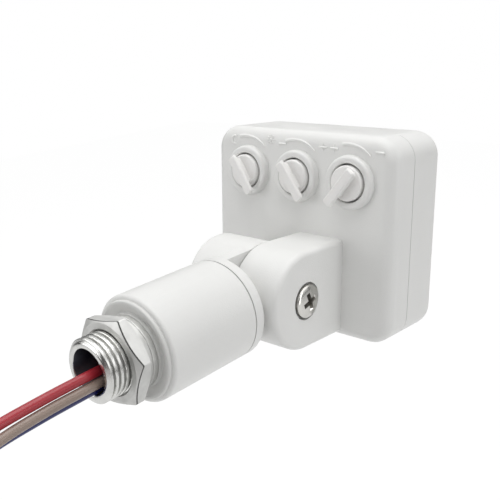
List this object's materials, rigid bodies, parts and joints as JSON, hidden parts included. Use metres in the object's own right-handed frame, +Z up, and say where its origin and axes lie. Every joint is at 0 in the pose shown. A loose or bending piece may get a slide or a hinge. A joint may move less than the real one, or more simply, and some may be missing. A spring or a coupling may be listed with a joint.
{
  "type": "motion sensor switch",
  "caption": "Motion sensor head on a tilting and swivelling knuckle, with a lens in front, adjusting knobs behind, a threaded stud and flying leads.",
  "frame": {"origin": "on the stud's axis, in the middle of the thread that stands clear of the nut", "axes": "+Y along the barrel from the stud towards the head, +Z up towards the knobs, +X to the side of the pivot screw's head"},
  "size_m": [0.0646, 0.2043, 0.0894],
  "materials": {
    "housing_white": "fine matte moulded",
    "knob_white": "smooth moulded",
    "lens_milky": "milky, faceted inside",
    "zinc_plate": "bright zinc plate",
    "stainless": "satin",
    "gasket_grey": "matte",
    "seal_dark": "matte",
    "plug_grey": "moulded",
    "lead_red": "smooth sheath",
    "lead_brown": "smooth sheath",
    "lead_blue": "smooth sheath",
    "tinned_copper": "tinned strands",
    "board_green": "solder mask",
    "relay_blue": "moulded",
    "film_yellow": "dipped",
    "sleeve_black": "shrunk sleeve",
    "frame_black": "moulded",
    "trimmer_blue": "moulded"
  },
  "bodies": {
    "base": {"barrel": "housing_white", "end_plug": "plug_grey", "threaded_stud": "zinc_plate", "lock_nut": "zinc_plate", "plain_washer": "zinc_plate", "end_gasket": "gasket_grey", "lead_grommet": "seal_dark", "lead_red": "lead_red", "lead_brown": "lead_brown", "lead_blue": "lead_blue", "bare_ends": "tinned_copper", "swivel_washer": "stainless"},
    "knuckle": {"knuckle_cap": "housing_white", "swivel_seal": "seal_dark", "swivel_clip": "stainless", "pivot_screw": "stainless", "pivot_nut": "stainless", "friction_washer": "seal_dark"},
    "head": {"rear_housing": "housing_white", "front_housing": "housing_white", "housing_seal": "seal_dark", "lens": "lens_milky", "lens_frame": "frame_black", "circuit_board": "board_green", "board_screws": "stainless", "sensor_can": "stainless", "relay": "relay_blue", "film_capacitor": "film_yellow", "round_capacitor": "sleeve_black", "trimmers": "trimmer_blue", "knob_seals": "seal_dark"},
    "light_knob": {"knob_light": "knob_white"},
    "time_knob": {"knob_time": "knob_white"},
    "range_knob": {"knob_range": "knob_white"}
  },
  "joints": [
    {"name": "swivel", "type": "hinge", "parent": "base", "child": "knuckle", "pos_m": [0, 0.04, 0], "axis": [0, 1, 0], "range_deg": [-165, 165]},
    {"name": "tilt", "type": "hinge", "parent": "knuckle", "child": "head", "pos_m": [0, 0.05855, 0], "axis": [1, 0, 0], "range_deg": [-85, 75]},
    {"name": "light_turn", "type": "hinge", "parent": "head", "child": "light_knob", "pos_m": [-0.0185, 0.07771, 0.02929], "axis": [0, 0.9969, -0.0785], "range_deg": [-100, 170]},
    {"name": "time_turn", "type": "hinge", "parent": "head", "child": "time_knob", "pos_m": [0, 0.07771, 0.02929], "axis": [0, 0.9969, -0.0785], "range_deg": [-98, 172]},
    {"name": "range_turn", "type": "hinge", "parent": "head", "child": "range_knob", "pos_m": [0.0185, 0.07771, 0.02929], "axis": [0, 0.9969, -0.0785], "range_deg": [-173, 97]}
  ]
}
